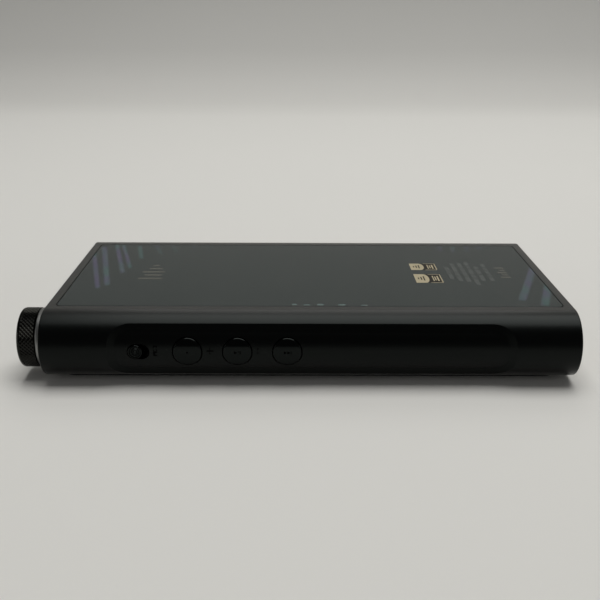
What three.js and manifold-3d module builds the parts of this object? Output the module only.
// Portable digital audio player, lying on its display with the back glass up.
//
// Frame, in millimetres: origin at the centre of the display glass's outer face, +Z up out of the back
// glass, +X towards the socket end, -X towards the volume knob, -Y towards the side with the keys, +Y
// towards the card tray.
import * as THREE from "three";
import { mergeVertices } from "three/addons/utils/BufferGeometryUtils.js";
import Module from "manifold-3d";

const wasm = await Module();
wasm.setup();

// ---------------------------------------------------------------- driving dimensions

// Casing
const bodyLength = 132;
const bodyWidth = 75;
const bodyThickness = 18; // display glass face to back glass face
const displayProud = 0.9; // how far the display glass stands out of the chassis
const endWall = 3.8;
const endChamfer = 0.35;
const sideWall = 5.3; // at the widest point of the round side
const webThickness = 1; // plate across the chassis between display bay and main bay
const fit = 0.2; // side clearance of a piece in its seat
const film = 0.05; // air between two pieces that lie on each other

// Glass panels
const backGlassMargin = 2.5; // chassis end face to glass edge
const backGlassSideMargin = 10.3; // widest point of the side to glass edge
const backGlassThickness = 1.1;
const backLedge = 1.2; // width of the ledge that the glass is taped to
const backLedgeThickness = 1.05;
const glassCorner = 1;
const glassEdge = 0.25; // ground chamfer
const tapeThickness = 0.18;
const displayGlassThickness = 1.6;
const displayGlassMargin = 2;
const displayGlassSideMargin = 7.1;
const displayCorner = 5;
const displayLedge = 1;
const panelThickness = 1.6;
const sheetThickness = 0.2;
const displayAir = 0.4; // behind the display, under the web

// Side recess for the keys
const recessEndKnob = 16.6; // end face to recess, knob end
const recessEndSocket = 16;
const recessHalfHeight = 6.6;
const recessCorner = 5.6;
const recessDepth = 0.85;
const recessSlope = 1.8; // width of the sloping wall

// Keys
const keyDiameter = 6.95;
const keyPitch = 12.15;
const firstKeyFromEnd = 35.95;
const keyProud = 0.25; // key face above the recess floor
const keyGap = 0.2;
const keyEdge = 0.25; // bevel round the key's face
const keyTravel = 0.35;
const flangeExtra = 0.7; // retaining flange beyond the key's edge
const flangeThickness = 0.6;
const switchAir = 0.3; // between a pressed key and its switch
const switchWidth = 4.5;
const switchThickness = 1.4;
const switchWell = 1.15; // depth of the hole in a switch for its plunger
const wellDiameter = 2.4;
const plungerDiameter = 1.9;
const sideBoardThickness = 0.6;
const keyBoardMargin = 5; // hold slider to the key board's end

// Hold switch
const holdFromEnd = 23.3; // end face to the slider at rest
const holdDiameter = 3.5;
const holdTravel = 1.5;
const holdFlange = 1; // flange beyond the slider's edge
const holdSwitchLength = 7.2;
const holdSwitchHeight = 3.5;
const holdSwitchWell = 1.1;
const leverWidth = 1.2;

// Power key
const powerLength = 10;
const powerHeight = 3.6;
const powerProud = 0.5;
const powerY = 9;
const powerEdge = 0.35;

// Volume knob and encoder
const knobDiameter = 15;
const knobLength = 4.4;
const knobChamfer = 0.75;
const knobFromSide = 10.6; // widest point of the side to the knob's axis
const collarThickness = 1.5;
const collarWall = 1.6;
const knobAir = 0.25; // between collar and knob
const shaftDiameter = 4;
const bushDiameter = 7;
const encoderSize = 8.4;
const encoderDepth = 5;
const nutAcross = 9;
const nutThickness = 0.9;
const knobDishDepth = 0.35;
const knobDishMargin = 1.6; // knob's edge to the dish in its face
const nutRoomMargin = 1.8; // knob's edge to the room for the nut
const nutRoomDepth = 1;
const shaftEndDepth = 1.4; // knob's face to the end of the shaft bore
const backEdge = 0.3; // chamfer at the knob's back
const collarMargin = 0.15; // knob's edge to the collar's edge
const collarEdge = 0.25;
const setScrewDiameter = 1.6;
const setScrewSunk = 1.2;

// Sockets: bore diameter, body width, body height, body length
const sockets = [
  { name: "balanced_small", bore: 2.6, width: 6.6, height: 5.2, length: 11.5 },
  { name: "headphone", bore: 3.6, width: 7.6, height: 6.1, length: 14 },
  { name: "usb", bore: 0, width: 10.4, height: 6.1, length: 5.6 },
  { name: "balanced_large", bore: 4.5, width: 9, height: 6.2, length: 17 },
  { name: "line_out", bore: 3.6, width: 7.6, height: 6.1, length: 14 },
];
const socketRing = 1.5; // wall of the trim ring round each socket
const usbWidth = 8.94;
const usbHeight = 3.26;
const usbWall = 0.3;
const usbDepth = 7.3;
const usbBack = 0.6; // thickness of the shell's back
const tongueWidth = 6.7;
const tongueThickness = 0.7;
const tongueSunk = 1.2; // end face to the tongue's end
const ringProud = 0.1;
const ringEdge = 0.2;
const boreBack = 1; // socket's back to the end of its bore

// Card tray
const trayFromEnd = 28; // knob end face to the tray's middle
const trayWidth = 16;
const trayHeight = 3;
const trayPlate = 1.3; // thickness of the tray's drawer
const trayReach = 18; // side face to the tray's inner end
const trayFront = 2.6; // thickness of the tray's front
const drawerMargin = 0.4; // front's edge to the drawer's edge
const readerWall = 1.5;
const cardLength = 15;
const cardWidth = 11;
const cardThickness = 0.7;
const cardFromEdge = 0.95; // tray edge to card seat
const pinDiameter = 1.1;
const pinFromEnd = 1.6; // tray end to the pin hole

// Boards and battery
const boardThickness = 1;
const boardRoom = 2.0; // from board to the underside of the back ledge
const boardSideMargin = 11.6; // widest point of the side to board edge
const boardKnobMargin = 12; // knob end face to digital board
const boardSocketMargin = 5; // socket end face to audio board
const boardSplit = 2; // half the gap between the boards
const bossDiameter = 3.4;
const bossInset = 1.8; // board edge to screw
const screwDiameter = 1.2;
const screwHead = 2.6;
const screwHeadHeight = 0.6;
const screwLength = 4;
const batteryAir = 1.2; // over the battery, for it to swell
const batteryKnobMargin = 43;
const batterySocketMargin = 25;
const shieldHeight = 1.5;
const shieldWall = 0.25;
const shieldMargin = 1.5; // clear space round the screws
const batteryEdge = 0.8;

// ---------------------------------------------------------------- derived places

const halfLength = bodyLength / 2;
const halfWidth = bodyWidth / 2;
const sideRadius = (bodyThickness - displayProud) / 2; // full-round long sides
const midHeight = bodyThickness - sideRadius;
const sideCentre = halfWidth - sideRadius;
const bayHalfLength = halfLength - endWall;
const bayHalfWidth = halfWidth - sideWall;

const displayRebate = displayGlassThickness + 2 * film + tapeThickness;
const displayBay = displayGlassThickness + panelThickness + sheetThickness + displayAir;
const bayFloor = displayBay + webThickness;
const backRebate = bodyThickness - backGlassThickness - 2 * film - tapeThickness;
const backLedgeUnder = backRebate - backLedgeThickness;
const boardTop = backLedgeUnder - boardRoom;
const boardUnder = boardTop - boardThickness;

const backGlassHalf = [halfLength - backGlassMargin, halfWidth - backGlassSideMargin];
const displayGlassHalf = [halfLength - displayGlassMargin, halfWidth - displayGlassSideMargin];
const boardHalfWidth = halfWidth - boardSideMargin;

const keySideY = -halfWidth;
const recessFloorRadius = sideRadius - recessDepth;
const capRadius = recessFloorRadius + keyProud;
const flangeOuterY = -bayHalfWidth + fit;
const flangeInnerY = flangeOuterY + flangeThickness;
const switchFaceY = flangeInnerY + keyTravel + switchAir;
const keyBoardY = switchFaceY + switchThickness + film;
const knobY = -halfWidth + knobFromSide;

// ---------------------------------------------------------------- shapes

const CURVE = 8; // segments in a quarter of a large corner
const ROUND = 28; // segments in a small circle

// Outline of a rounded rectangle, counter-clockwise, drawn in by inset all round. endSteps divides its
// straight ends.
function roundedOutline(halfU, halfV, corner, segments = CURVE, endSteps = 1) {
  return (inset) => {
    const u = halfU - inset;
    const v = halfV - inset;
    const r = Math.min(Math.max(corner - inset, 0.05), u, v);
    const points = [];
    for (let quarter = 0; quarter < 4; quarter += 1) {
      const side = [quarter === 0 || quarter === 3 ? 1 : -1, quarter < 2 ? 1 : -1];
      for (let i = 0; i <= segments; i += 1) {
        const angle = ((quarter + i / segments) * Math.PI) / 2;
        points.push([side[0] * (u - r) + r * Math.cos(angle), side[1] * (v - r) + r * Math.sin(angle)]);
      }
      for (let i = 1; quarter % 2 === 1 && i < endSteps; i += 1) {
        points.push([side[0] * u, side[1] * (v - r) * (1 - (2 * i) / endSteps)]);
      }
    }
    return points;
  };
}

function circleOutline(radius, segments = ROUND) {
  return (inset) => {
    const points = [];
    for (let i = 0; i < segments; i += 1) {
      const angle = (i / segments) * 2 * Math.PI;
      points.push([(radius - inset) * Math.cos(angle), (radius - inset) * Math.sin(angle)]);
    }
    return points;
  };
}

// Where a point of an outline at (u, v) and height w along the bar lands.
const alongX = (u, v, w) => [w, u, v];
const alongY = (u, v, w) => [-u, w, v];
const alongZ = (u, v, w) => [u, v, w];
// On the round key side, with w the distance from the round's axis: seen square on, or laid round the
// curve.
const ontoSide = (u, v, w) => [u, -Math.sqrt(w * w - v * v), v];
const roundSide = (u, v, w) => [u, -w * Math.cos(v / sideRadius), w * Math.sin(v / sideRadius)];

// A closed bar: levels are [height, inset] pairs with rising height. place says which way it runs, and
// centre where.
function bar(place, outline, levels, centre = [0, 0, 0]) {
  const positions = [];
  const faces = [];
  levels.forEach(([height, inset]) => {
    outline(inset).forEach(([u, v]) => {
      const point = place(u, v, height);
      positions.push(point[0] + centre[0], point[1] + centre[1], point[2] + centre[2]);
    });
  });
  const count = outline(0).length;
  for (let level = 0; level + 1 < levels.length; level += 1) {
    for (let i = 0; i < count; i += 1) {
      const a = level * count + i;
      const b = level * count + ((i + 1) % count);
      faces.push(a, b, b + count, a, b + count, a + count);
    }
  }
  const last = (levels.length - 1) * count;
  for (let i = 1; i + 1 < count; i += 1) {
    faces.push(0, i + 1, i, last, last + i, last + i + 1);
  }
  const geometry = new THREE.BufferGeometry();
  geometry.setAttribute("position", new THREE.Float32BufferAttribute(positions, 3));
  geometry.setIndex(faces);
  return solidOf(geometry);
}

function block(low, high) {
  const size = high.map((value, i) => value - low[i]);
  const middle = high.map((value, i) => (value + low[i]) / 2);
  return solidOf(new THREE.BoxGeometry(...size).translate(...middle));
}

// A three.js geometry as a manifold-3d solid, and back.
function solidOf(geometry) {
  const bare = geometry.clone();
  bare.deleteAttribute("normal");
  bare.deleteAttribute("uv");
  const merged = mergeVertices(bare, 1e-4);
  const mesh = new wasm.Mesh({
    numProp: 3,
    vertProperties: merged.attributes.position.array,
    triVerts: new Uint32Array(merged.index.array),
  });
  return new wasm.Manifold(mesh);
}

function geometryOf(solid) {
  const mesh = solid.getMesh();
  const geometry = new THREE.BufferGeometry();
  geometry.setAttribute("position", new THREE.BufferAttribute(mesh.vertProperties, 3));
  geometry.setIndex(new THREE.BufferAttribute(mesh.triVerts, 1));
  geometry.computeVertexNormals();
  return geometry;
}

const cut = (solid, ...tools) => tools.reduce((left, tool) => left.subtract(tool), solid);
const join = (solid, ...others) => others.reduce((sum, other) => sum.add(other), solid);

// ---------------------------------------------------------------- materials

function finish(color, roughness, metalness) {
  return new THREE.MeshStandardMaterial({ color, roughness, metalness });
}

const anodised = finish(0x1b1c1b, 0.42, 0.9);
const polishedBlack = finish(0x0c0d0c, 0.2, 0.9);
const satinGrey = finish(0x6a6c6b, 0.4, 0.9);
const blackGlass = finish(0x2b2f2f, 0.06, 0);
const tape = finish(0x101010, 0.8, 0);
const steel = finish(0xa8aaac, 0.3, 1);
const brass = finish(0xb79654, 0.3, 1);
const blackPlastic = finish(0x141414, 0.5, 0);
const circuitGreen = finish(0x14341f, 0.5, 0);
const batteryWrap = finish(0x24262b, 0.4, 0.2);
const graphite = finish(0x2c2d2f, 0.6, 0.3);

const player = new THREE.Group();

function add(name, solid, material) {
  const mesh = new THREE.Mesh(geometryOf(solid), material);
  mesh.name = name;
  player.add(mesh);
}

// ---------------------------------------------------------------- chassis

// The cross-section is a stadium: flat faces and full-round long sides.
function roundSidedBar(radius, levels) {
  return bar(alongX, roundedOutline(sideCentre + radius, radius, radius, 12), levels, [0, 0, midHeight]);
}

function chassisSolid() {
  const outside = roundSidedBar(sideRadius, [
    [-halfLength, endChamfer],
    [-halfLength + endChamfer, 0],
    [halfLength - endChamfer, 0],
    [halfLength, endChamfer],
  ]);
  const shell = cut(
    outside,
    panelSeat(displayGlassHalf, displayCorner, displayProud - 1, displayRebate),
    panelSeat(displayGlassHalf.map((half) => half - displayLedge), displayCorner, 0, displayBay),
    block([-bayHalfLength, -bayHalfWidth, bayFloor], [bayHalfLength, bayHalfWidth, backLedgeUnder]),
    panelSeat(backGlassHalf.map((half) => half - backLedge), glassCorner, bayFloor, bodyThickness),
    panelSeat(backGlassHalf, glassCorner, backRebate, bodyThickness + 1),
    flexWindow(),
  );
  const bosses = boardScrews().map(([x, y]) => bossAt(x, y));
  return cut(
    join(shell, ...bosses),
    ...boardScrews().map(([x, y]) => screwHoleAt(x, y)),
    sideRecess(),
    ...keys().flatMap(({ x }) => [keyHole(x), flangeRoom(x)]),
    holdSlot(),
    powerHole(),
    encoderHole(),
    encoderRoom(),
    ...socketPlaces().map(socketHole),
    traySlot(),
  );
}

// Straight-sided seat for a panel, with the panel's side clearance.
function panelSeat([halfX, halfY], corner, low, high) {
  return bar(alongZ, roundedOutline(halfX + fit, halfY + fit, corner + fit), [
    [low, 0],
    [high, 0],
  ]);
}

// Pocket along the key side: its outline lies round the side's curve, its wall slopes, and its floor
// follows the side.
function sideRecess() {
  const low = -halfLength + recessEndKnob;
  const high = halfLength - recessEndSocket;
  const halfArc = sideRadius * Math.asin(recessHalfHeight / sideRadius);
  const under = 0.3;
  const pocket = bar(
    roundSide,
    roundedOutline((high - low) / 2, halfArc, recessCorner, CURVE, 6),
    [
      [recessFloorRadius - under, recessSlope * (1 + under / recessDepth)],
      [sideRadius, 0],
      [4 * sideRadius, 0],
    ],
    [(low + high) / 2, -sideCentre, midHeight],
  );
  return cut(pocket, roundSidedBar(recessFloorRadius, [[-bodyLength, 0], [bodyLength, 0]]));
}

// ---------------------------------------------------------------- keys

function keys() {
  const names = ["previous_key", "play_key", "next_key"];
  return names.map((name, i) => ({ name, x: -halfLength + firstKeyFromEnd + i * keyPitch }));
}

function keyHole(x) {
  const levels = [
    [keySideY - 1, 0],
    [-bayHalfWidth + 1, 0],
  ];
  return bar(alongY, circleOutline(keyDiameter / 2 + keyGap), levels, [x, 0, midHeight]);
}

// Room for the key's flange behind the wall.
function flangeRoom(x) {
  const outline = circleOutline(keyDiameter / 2 + flangeExtra + fit);
  return bar(alongY, outline, [[-bayHalfWidth, 0], [keyBoardY, 0]], [x, 0, midHeight]);
}

// A round stud whose face follows the key side and stands above the recess floor. It reaches in to footY.
function sideStud(x, radius, edge, footY) {
  const rootRadius = (radius + capRadius) / 2;
  const crown = bar(
    ontoSide,
    circleOutline(radius, 40),
    [
      [rootRadius, 0],
      [capRadius - edge, 0],
      [capRadius, edge],
      [capRadius, radius * 0.35],
      [capRadius, radius * 0.6],
      [capRadius, radius * 0.85],
    ],
    [x, -sideCentre, midHeight],
  );
  const stemLevels = [
    [-sideCentre - rootRadius - film, 0],
    [footY, 0],
  ];
  return join(crown, bar(alongY, circleOutline(radius, 40), stemLevels, [x, 0, midHeight]));
}

// Key: a stud with a flange that keeps it in.
function keySolid(x) {
  const radius = keyDiameter / 2;
  const flangeLevels = [
    [flangeOuterY, 0],
    [flangeInnerY, 0],
  ];
  const flange = bar(alongY, circleOutline(radius + flangeExtra), flangeLevels, [x, 0, midHeight]);
  return join(sideStud(x, radius, keyEdge, flangeInnerY), flange);
}

// Tactile switch: a body with a well, and the plunger that the key presses.
function tactSwitch(axis, centre, faceAt) {
  const half = switchWidth / 2;
  const outline = roundedOutline(half, half, 0.3, 2);
  const body = bar(axis, outline, [[faceAt, 0], [faceAt + switchThickness, 0]], centre);
  const wellLevels = [
    [faceAt - 1, 0],
    [faceAt + switchWell, 0],
  ];
  const hole = bar(axis, circleOutline(wellDiameter / 2, 20), wellLevels, centre);
  const plungerLevels = [
    [faceAt - keyTravel - switchAir + film, 0],
    [faceAt + switchWell - keyTravel - fit, 0],
  ];
  const plunger = bar(axis, circleOutline(plungerDiameter / 2, 20), plungerLevels, centre);
  return { body: cut(body, hole), plunger };
}

function addKeys() {
  keys().forEach(({ name, x }) => {
    const { body, plunger } = tactSwitch(alongY, [x, 0, midHeight], switchFaceY);
    add(name, keySolid(x), polishedBlack);
    add(`${name}_switch`, body, blackPlastic);
    add(`${name}_plunger`, plunger, satinGrey);
  });
  const low = [-halfLength + holdFromEnd - keyBoardMargin, keyBoardY, bayFloor + fit];
  const high = [keys()[2].x + keyDiameter / 2 + 1, keyBoardY + sideBoardThickness, boardUnder - fit];
  add("key_board", block(low, high), circuitGreen);
}

// ---------------------------------------------------------------- hold switch

const holdX = -halfLength + holdFromEnd;
const holdMiddle = holdX + holdTravel / 2;

function holdSlot() {
  const half = holdDiameter / 2 + keyGap;
  const outline = roundedOutline(half + holdTravel / 2, half, half);
  const levels = [
    [keySideY - 1, 0],
    [-bayHalfWidth + 1, 0],
  ];
  return bar(alongY, outline, levels, [holdMiddle, 0, midHeight]);
}

function addHoldSwitch() {
  const radius = holdDiameter / 2;
  const plate = roundedOutline(radius + holdTravel / 2 + holdFlange, radius + holdFlange, 0.5, 2);
  const stem = sideStud(holdX, radius, keyEdge, flangeInnerY);
  const flange = bar(alongY, plate, [[flangeOuterY, 0], [flangeInnerY, 0]], [holdX, 0, midHeight]);
  add("hold_slider", join(stem, flange), polishedBlack);

  const leverHalf = leverWidth / 2;
  const lever = bar(
    alongY,
    roundedOutline(leverHalf, leverHalf, 0.1, 1),
    [[flangeInnerY + film, 0], [switchFaceY + holdSwitchWell - fit, 0]],
    [holdX, 0, midHeight],
  );
  const body = bar(
    alongY,
    roundedOutline(holdSwitchLength / 2, holdSwitchHeight / 2, 0.3, 2),
    [[switchFaceY, 0], [switchFaceY + switchThickness, 0]],
    [holdMiddle, 0, midHeight],
  );
  const slot = bar(
    alongY,
    roundedOutline(leverHalf + holdTravel / 2 + fit, leverHalf + fit, 0.1, 1),
    [[switchFaceY - 1, 0], [switchFaceY + holdSwitchWell, 0]],
    [holdMiddle, 0, midHeight],
  );
  add("hold_lever", lever, blackPlastic);
  add("hold_switch", cut(body, slot), steel);
}

// ---------------------------------------------------------------- power key

function powerHole() {
  const halfHeight = powerHeight / 2 + keyGap;
  const outline = roundedOutline(powerLength / 2 + keyGap, halfHeight, halfHeight);
  const levels = [
    [-halfLength - 1, 0],
    [-bayHalfLength + 1, 0],
  ];
  return bar(alongX, outline, levels, [0, powerY, midHeight]);
}

function addPowerKey() {
  const flangeOuter = -bayHalfLength + fit;
  const flangeInner = flangeOuter + flangeThickness;
  const outline = roundedOutline(powerLength / 2 + flangeExtra, powerHeight / 2 + flangeExtra, 2.5);
  const key = bar(
    alongX,
    outline,
    [
      [-halfLength - powerProud, flangeExtra + powerEdge],
      [-halfLength - powerProud + powerEdge, flangeExtra],
      [flangeOuter, flangeExtra],
      [flangeOuter, 0],
      [flangeInner, 0],
    ],
    [0, powerY, midHeight],
  );
  add("power_key", key, polishedBlack);
  const faceAt = flangeInner + keyTravel + switchAir;
  const { body, plunger } = tactSwitch(alongX, [0, powerY, midHeight], faceAt);
  add("power_key_switch", body, blackPlastic);
  add("power_key_plunger", plunger, satinGrey);
  const boardX = faceAt + switchThickness + film;
  const half = powerLength / 2 + 1;
  const low = [boardX, powerY - half, bayFloor + fit];
  const high = [boardX + sideBoardThickness, powerY + half, boardUnder - fit];
  add("power_board", block(low, high), circuitGreen);
}

// ---------------------------------------------------------------- volume knob

const knobCentre = [0, knobY, midHeight];
const collarOuterX = -halfLength - film - collarThickness;
const knobBackX = collarOuterX - knobAir;
const knobFaceX = knobBackX - knobLength;

function encoderHole() {
  const levels = [
    [-halfLength - 1, 0],
    [-bayHalfLength + 1, 0],
  ];
  return bar(alongX, circleOutline(bushDiameter / 2 + fit), levels, knobCentre);
}

function encoderRoom() {
  const half = encoderSize / 2 + fit;
  const levels = [
    [-bayHalfLength, 0],
    [-bayHalfLength + encoderDepth + fit, 0],
  ];
  return bar(alongX, roundedOutline(half, half, 0.4, 2), levels, knobCentre);
}

// A round hole along X, from x to the inside of the casing.
function holeFrom(x, radius, segments = ROUND) {
  const levels = [
    [x, 0],
    [0, 0],
  ];
  return bar(alongX, circleOutline(radius, segments), levels, knobCentre);
}

function addKnob() {
  const radius = knobDiameter / 2;
  const outside = bar(
    alongX,
    circleOutline(radius, 64),
    [
      [knobFaceX, knobChamfer],
      [knobFaceX + knobChamfer, 0],
      [knobBackX - backEdge, 0],
      [knobBackX, backEdge],
    ],
    knobCentre,
  );
  const shaftEndX = knobFaceX + shaftEndDepth;
  const dishLevels = [
    [knobFaceX - 1, 0],
    [knobFaceX + knobDishDepth, knobDishDepth],
  ];
  const dish = bar(alongX, circleOutline(radius - knobDishMargin, 48), dishLevels, knobCentre);
  const screwX = knobBackX - knobLength / 2;
  const screwHoleLevels = [
    [knobY, 0],
    [knobY + radius + 1, 0],
  ];
  const screwAt = [screwX, 0, midHeight];
  const knob = cut(
    outside,
    holeFrom(shaftEndX, shaftDiameter / 2 + fit / 2),
    dish,
    holeFrom(knobBackX - nutRoomDepth, radius - nutRoomMargin),
    bar(alongY, circleOutline(setScrewDiameter / 2 + fit / 2, 16), screwHoleLevels, screwAt),
  );
  add("volume_knob", knob, polishedBlack);

  const screwLevels = [
    [knobY + shaftDiameter / 2 + fit, 0],
    [knobY + radius - setScrewSunk, 0],
  ];
  add("knob_set_screw", bar(alongY, circleOutline(setScrewDiameter / 2, 16), screwLevels, screwAt), steel);

  const collarRadius = radius - collarMargin;
  const collar = bar(
    alongX,
    circleOutline(collarRadius, 64),
    [
      [collarOuterX, collarEdge],
      [collarOuterX + collarEdge, 0],
      [-halfLength - film, 0],
    ],
    knobCentre,
  );
  add("knob_collar", cut(collar, holeFrom(-bodyLength, collarRadius - collarWall, 48)), satinGrey);
  addEncoder(shaftEndX);
}

function addEncoder(shaftEndX) {
  const frontX = -bayHalfLength + film;
  const backX = frontX + encoderDepth;
  const shaftLevels = [
    [shaftEndX + fit, 0],
    [backX - 1, 0],
  ];
  add("encoder_shaft", bar(alongX, circleOutline(shaftDiameter / 2, 24), shaftLevels, knobCentre), steel);

  const half = encoderSize / 2;
  const housing = bar(alongX, roundedOutline(half, half, 0.4, 2), [[frontX, 0], [backX, 0]], knobCentre);
  const bushLevels = [
    [collarOuterX + fit, 0],
    [frontX + 0.5, 0],
  ];
  const bush = bar(alongX, circleOutline(bushDiameter / 2), bushLevels, knobCentre);
  const boreLevels = [
    [-bodyLength, 0],
    [backX - 0.7, 0],
  ];
  const bore = bar(alongX, circleOutline(shaftDiameter / 2 + fit / 2, 24), boreLevels, knobCentre);
  add("encoder_body", cut(join(housing, bush), bore), steel);

  const nutLevels = [
    [-halfLength - film - nutThickness, 0],
    [-halfLength - film, 0],
  ];
  const nut = bar(alongX, circleOutline(nutAcross / Math.sqrt(3), 6), nutLevels, knobCentre);
  add("encoder_nut", cut(nut, holeFrom(-bodyLength, bushDiameter / 2 + fit / 2)), brass);
}

// ---------------------------------------------------------------- sockets

// The sockets stand side by side with equal gaps across the main bay.
function socketPlaces() {
  const used = sockets.reduce((sum, socket) => sum + socket.width, 0);
  const gap = (2 * boardHalfWidth + 4 - used) / (sockets.length - 1);
  let edge = -boardHalfWidth - 2;
  return sockets.map((socket) => {
    const y = edge + socket.width / 2;
    edge += socket.width + gap;
    return { ...socket, y };
  });
}

function socketHole(socket) {
  const levels = [
    [bayHalfLength - 1, 0],
    [halfLength + 1, 0],
  ];
  const usbHalf = [usbWidth / 2 + fit, usbHeight / 2 + fit];
  const outline =
    socket.name === "usb"
      ? roundedOutline(usbHalf[0], usbHalf[1], usbHalf[1])
      : circleOutline(socket.bore / 2 + socketRing + fit);
  return bar(alongX, outline, levels, [0, socket.y, midHeight]);
}

function addSocket(socket) {
  const centre = [0, socket.y, midHeight];
  const backX = bayHalfLength - film - socket.length;
  const low = [backX, socket.y - socket.width / 2, midHeight - socket.height / 2];
  const high = [bayHalfLength - film, socket.y + socket.width / 2, boardUnder - film];
  const boreLevels = [
    [backX + boreBack, 0],
    [bodyLength, 0],
  ];
  const bore = bar(alongX, circleOutline(socket.bore / 2), boreLevels, centre);
  add(`${socket.name}_socket`, cut(block(low, high), bore), blackPlastic);

  const ring = bar(
    alongX,
    circleOutline(socket.bore / 2 + socketRing),
    [
      [bayHalfLength, 0],
      [halfLength + ringProud - ringEdge, 0],
      [halfLength + ringProud, ringEdge],
    ],
    centre,
  );
  const mouth = bar(alongX, circleOutline(socket.bore / 2), [[0, 0], [bodyLength, 0]], centre);
  add(`${socket.name}_ring`, cut(ring, mouth), brass);
}

function addUsb(socket) {
  const centre = [0, socket.y, midHeight];
  const shellHalf = [usbWidth / 2, usbHeight / 2];
  const innerHalf = shellHalf.map((half) => half - usbWall);
  const backX = halfLength - fit - usbDepth;
  const frontX = bayHalfLength - film;
  const low = [frontX - socket.length, socket.y - socket.width / 2, midHeight - socket.height / 2];
  const high = [frontX, socket.y + socket.width / 2, boardUnder - film];
  const seat = bar(
    alongX,
    roundedOutline(shellHalf[0] + film, shellHalf[1] + film, shellHalf[1] + film),
    [[backX - film, 0], [bodyLength, 0]],
    centre,
  );
  add("usb_body", cut(block(low, high), seat), blackPlastic);
  const stadium = ([halfU, halfV]) => roundedOutline(halfU, halfV, halfV);
  const mouthX = backX + usbBack;
  const shell = bar(alongX, stadium(shellHalf), [[backX, 0], [halfLength - fit, 0]], centre);
  const mouth = bar(alongX, stadium(innerHalf), [[mouthX, 0], [bodyLength, 0]], centre);
  add("usb_shell", cut(shell, mouth), steel);
  const tongueLevels = [
    [mouthX + film, 0],
    [halfLength - tongueSunk, 0],
  ];
  const tongueOutline = roundedOutline(tongueWidth / 2, tongueThickness / 2, 0.15, 2);
  add("usb_tongue", bar(alongX, tongueOutline, tongueLevels, centre), blackPlastic);
}

// ---------------------------------------------------------------- card tray

const trayX = -halfLength + trayFromEnd;
const trayInnerY = halfWidth - trayReach;

function trayOutline(extra) {
  const halfHeight = trayHeight / 2 + extra;
  return roundedOutline(trayWidth / 2 + extra, halfHeight, halfHeight);
}

function traySlot() {
  const levels = [
    [bayHalfWidth - 1, 0],
    [bodyWidth, 0],
  ];
  return bar(alongY, trayOutline(keyGap), levels, [trayX, 0, midHeight]);
}

function addCardTray() {
  const plateHalf = trayPlate / 2;
  const frontBackY = halfWidth - trayFront;
  const drawerHalf = trayWidth / 2 - drawerMargin;
  const front = bar(alongY, trayOutline(0), [[frontBackY, 0], [bodyWidth, 0]], [trayX, 0, midHeight]);
  const skin = roundSidedBar(sideRadius, [[-bodyLength, 0], [bodyLength, 0]]);
  const drawer = block(
    [trayX - drawerHalf, trayInnerY, midHeight - plateHalf],
    [trayX + drawerHalf, frontBackY + 0.5, midHeight + plateHalf],
  );
  const pinX = trayX + trayWidth / 2 - pinFromEnd;
  const pinHole = bar(
    alongY,
    circleOutline(pinDiameter / 2, 16),
    [[frontBackY - 1, 0], [bodyWidth, 0]],
    [pinX, 0, midHeight],
  );
  const pinRelief = block(
    [pinX - pinDiameter / 2 - fit, trayInnerY - 1, midHeight - trayHeight],
    [trayX + trayWidth / 2, frontBackY - 0.8, midHeight + trayHeight],
  );
  const cardX = trayX - drawerHalf + cardFromEdge + fit + cardWidth / 2;
  const cardY = trayInnerY + cardFromEdge + fit + cardLength / 2;
  const seatHalf = [cardWidth / 2 + fit, cardLength / 2 + fit];
  const seat = block(
    [cardX - seatHalf[0], cardY - seatHalf[1], midHeight + plateHalf - cardThickness - film],
    [cardX + seatHalf[0], cardY + seatHalf[1], midHeight + plateHalf + 1],
  );
  const tray = cut(join(front.intersect(skin), drawer), pinHole, seat, pinRelief);
  add("card_tray", tray, anodised);

  const card = bar(
    alongZ,
    roundedOutline(cardWidth / 2, cardLength / 2, 0.6, 2),
    [[midHeight + plateHalf - cardThickness, 0], [midHeight + plateHalf, 0]],
    [cardX, cardY, 0],
  );
  add("memory_card", card, blackPlastic);

  const readerHalf = trayWidth / 2 + readerWall;
  const reader = block(
    [trayX - readerHalf, trayInnerY - 1.6, midHeight - plateHalf - 1],
    [trayX + readerHalf, bayHalfWidth - fit, boardUnder - film],
  );
  const throat = block(
    [trayX - drawerHalf - fit, trayInnerY - 0.6, midHeight - plateHalf - fit],
    [trayX + drawerHalf + fit, bodyWidth, midHeight + plateHalf + 2 * fit],
  );
  add("card_reader", cut(reader, throat), steel);
}

// ---------------------------------------------------------------- boards, battery, screws

const digitalBoardX = [-halfLength + boardKnobMargin, -boardSplit];
const audioBoardX = [boardSplit, halfLength - boardSocketMargin];

// Four screws hold each board. At the socket end they stand clear of the longest socket.
function boardScrews() {
  const longest = Math.max(...sockets.map((socket) => socket.length));
  const columns = [
    digitalBoardX[0] + bossInset,
    digitalBoardX[1] - bossInset,
    audioBoardX[0] + bossInset,
    bayHalfLength - longest - bossDiameter,
  ];
  const side = boardHalfWidth - bossInset;
  return columns.flatMap((x) => [
    [x, -side],
    [x, side],
  ]);
}

function bossAt(x, y) {
  const levels = [
    [bayFloor - webThickness / 2, 0],
    [boardUnder - film, 0],
  ];
  return bar(alongZ, circleOutline(bossDiameter / 2, 20), levels, [x, y, 0]);
}

function screwHoleAt(x, y) {
  const levels = [
    [boardTop - screwLength, 0],
    [boardTop, 0],
  ];
  return bar(alongZ, circleOutline(screwDiameter / 2 + fit / 2, 16), levels, [x, y, 0]);
}

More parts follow.
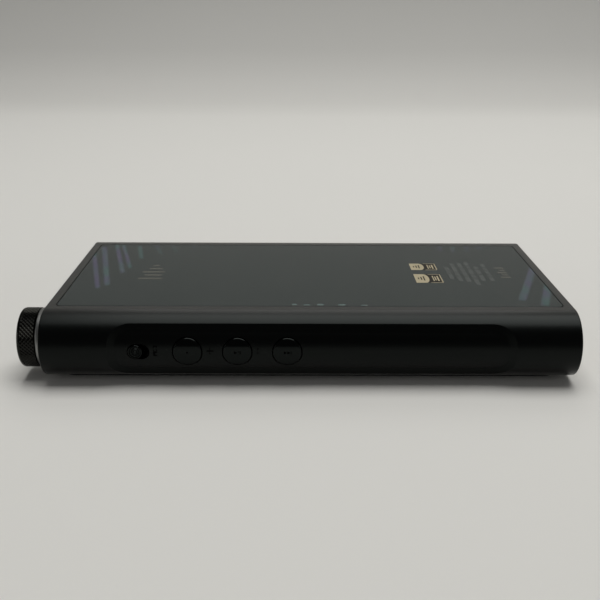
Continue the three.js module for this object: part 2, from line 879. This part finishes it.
function addBoards() {
  [
    ["digital_board", digitalBoardX],
    ["audio_board", audioBoardX],
  ].forEach(([name, [low, high]]) => {
    const outline = roundedOutline((high - low) / 2, boardHalfWidth, 1.5, 3);
    const board = bar(alongZ, outline, [[boardUnder, 0], [boardTop, 0]], [(low + high) / 2, 0, 0]);
    const holeOutline = circleOutline(screwDiameter / 2 + fit, 16);
    const holes = boardScrews().map(([x, y]) =>
      bar(alongZ, holeOutline, [[boardUnder - 1, 0], [boardTop + 1, 0]], [x, y, 0]),
    );
    add(name, cut(board, ...holes), circuitGreen);
  });
  boardScrews().forEach(([x, y], i) => {
    const shank = (screwHead - screwDiameter) / 2;
    const levels = [
      [boardTop - screwLength + fit, shank],
      [boardTop + film, shank],
      [boardTop + film, 0],
      [boardTop + film + screwHeadHeight, 0.15],
    ];
    add(`board_screw_${i + 1}`, bar(alongZ, circleOutline(screwHead / 2, 16), levels, [x, y, 0]), steel);
  });
}

// Shield cans stand on the boards between the screws.
function addShields() {
  const inset = 2 * bossInset + shieldMargin;
  const side = boardHalfWidth - inset;
  const base = boardTop + film;
  const can = (low, high) => {
    const outer = block([...low, base], [...high, base + shieldHeight]);
    const hollow = block(
      [low[0] + shieldWall, low[1] + shieldWall, base - 1],
      [high[0] - shieldWall, high[1] - shieldWall, base + shieldHeight - shieldWall],
    );
    return cut(outer, hollow);
  };
  const audioLow = audioBoardX[0] + inset;
  const audioHigh = boardScrews()[6][0] - bossInset - shieldMargin;
  add("processor_shield", can([digitalBoardX[0] + inset, -side], [digitalBoardX[1] - inset, side]), steel);
  add("left_channel_shield", can([audioLow, 1], [audioHigh, side]), steel);
  add("right_channel_shield", can([audioLow, -side], [audioHigh, -1]), steel);
}

function addBattery() {
  const halfY = boardHalfWidth - 2 * bossInset - fit;
  const low = -halfLength + batteryKnobMargin;
  const high = halfLength - batterySocketMargin;
  const base = bayFloor + fit;
  const top = boardUnder - batteryAir;
  const pack = bar(
    alongZ,
    roundedOutline((high - low) / 2, halfY, 2, 3),
    [
      [base, batteryEdge],
      [base + batteryEdge, 0],
      [top - batteryEdge, 0],
      [top, batteryEdge],
    ],
    [(low + high) / 2, 0, 0],
  );
  add("battery_pack", pack, batteryWrap);
}

// ---------------------------------------------------------------- display and glass

const flexHalfWidth = 7;
const ribbonThickness = 0.3;
const ribbonFoot = 2.6; // how far the ribbon runs under the panel
const ribbonTail = 4; // and over the digital board
const flexX = -halfLength + boardKnobMargin - 2;

function flexWindow() {
  const half = flexHalfWidth + 0.5;
  return block([flexX - 0.6, -half, displayBay - 1], [flexX + 0.6, half, bayFloor + 1]);
}

function addDisplay() {
  const outline = roundedOutline(...displayGlassHalf, displayCorner);
  const rim = displayProud;
  const cover = bar(alongZ, outline, [
    [0, rim],
    [rim * 0.3, rim * 0.35],
    [rim, 0],
    [displayGlassThickness, 0],
  ]);
  add("display_glass", cover, blackGlass);

  const tapeLow = displayGlassThickness + film;
  add("display_tape", tapeFrame(displayGlassHalf, displayCorner, displayLedge, tapeLow), tape);

  const panelHalf = displayGlassHalf.map((half) => half - displayLedge - fit);
  const panel = bar(alongZ, roundedOutline(...panelHalf, displayCorner - displayLedge), [
    [tapeLow, 0],
    [tapeLow + panelThickness, 0],
  ]);
  add("display_panel", panel, blackPlastic);

  const sheetLow = tapeLow + panelThickness + film;
  const sheetHigh = [panelHalf[0] - 3, panelHalf[1] - 3, sheetLow + sheetThickness];
  const sheet = block([flexX + 3, -sheetHigh[1], sheetLow], sheetHigh);
  add("graphite_sheet", sheet, graphite);

  const half = ribbonThickness / 2;
  const piece = (reach, low, high) =>
    block([flexX - half, -flexHalfWidth, low], [flexX + reach, flexHalfWidth, high]);
  const tailLow = boardTop + film;
  const ribbon = join(
    piece(half, sheetLow, tailLow),
    piece(ribbonFoot, sheetLow, sheetLow + fit),
    piece(ribbonTail, tailLow, tailLow + fit),
  );
  add("display_ribbon", ribbon, tape);
}

function tapeFrame([halfX, halfY], corner, width, low) {
  const levels = [
    [low, 0],
    [low + tapeThickness, 0],
  ];
  const holeLevels = [
    [low - 1, 0],
    [low + 1, 0],
  ];
  const outer = bar(alongZ, roundedOutline(halfX - fit / 2, halfY - fit / 2, corner), levels);
  const innerOutline = roundedOutline(halfX - width, halfY - width, Math.max(corner - width, 0.5));
  return cut(outer, bar(alongZ, innerOutline, holeLevels));
}

function addBackGlass() {
  const low = bodyThickness - backGlassThickness;
  const panel = bar(alongZ, roundedOutline(...backGlassHalf, glassCorner), [
    [low, 0],
    [bodyThickness - glassEdge, 0],
    [bodyThickness, glassEdge],
  ]);
  add("back_glass", panel, blackGlass);
  const tapeLow = low - film - tapeThickness;
  add("back_glass_tape", tapeFrame(backGlassHalf, glassCorner, backLedge, tapeLow), tape);
}

// ---------------------------------------------------------------- assembly

add("chassis", chassisSolid(), anodised);
addBackGlass();
addDisplay();
addKeys();
addHoldSwitch();
addPowerKey();
addKnob();
socketPlaces().forEach((socket) => (socket.name === "usb" ? addUsb(socket) : addSocket(socket)));
addCardTray();
addBoards();
addShields();
addBattery();

export default player;
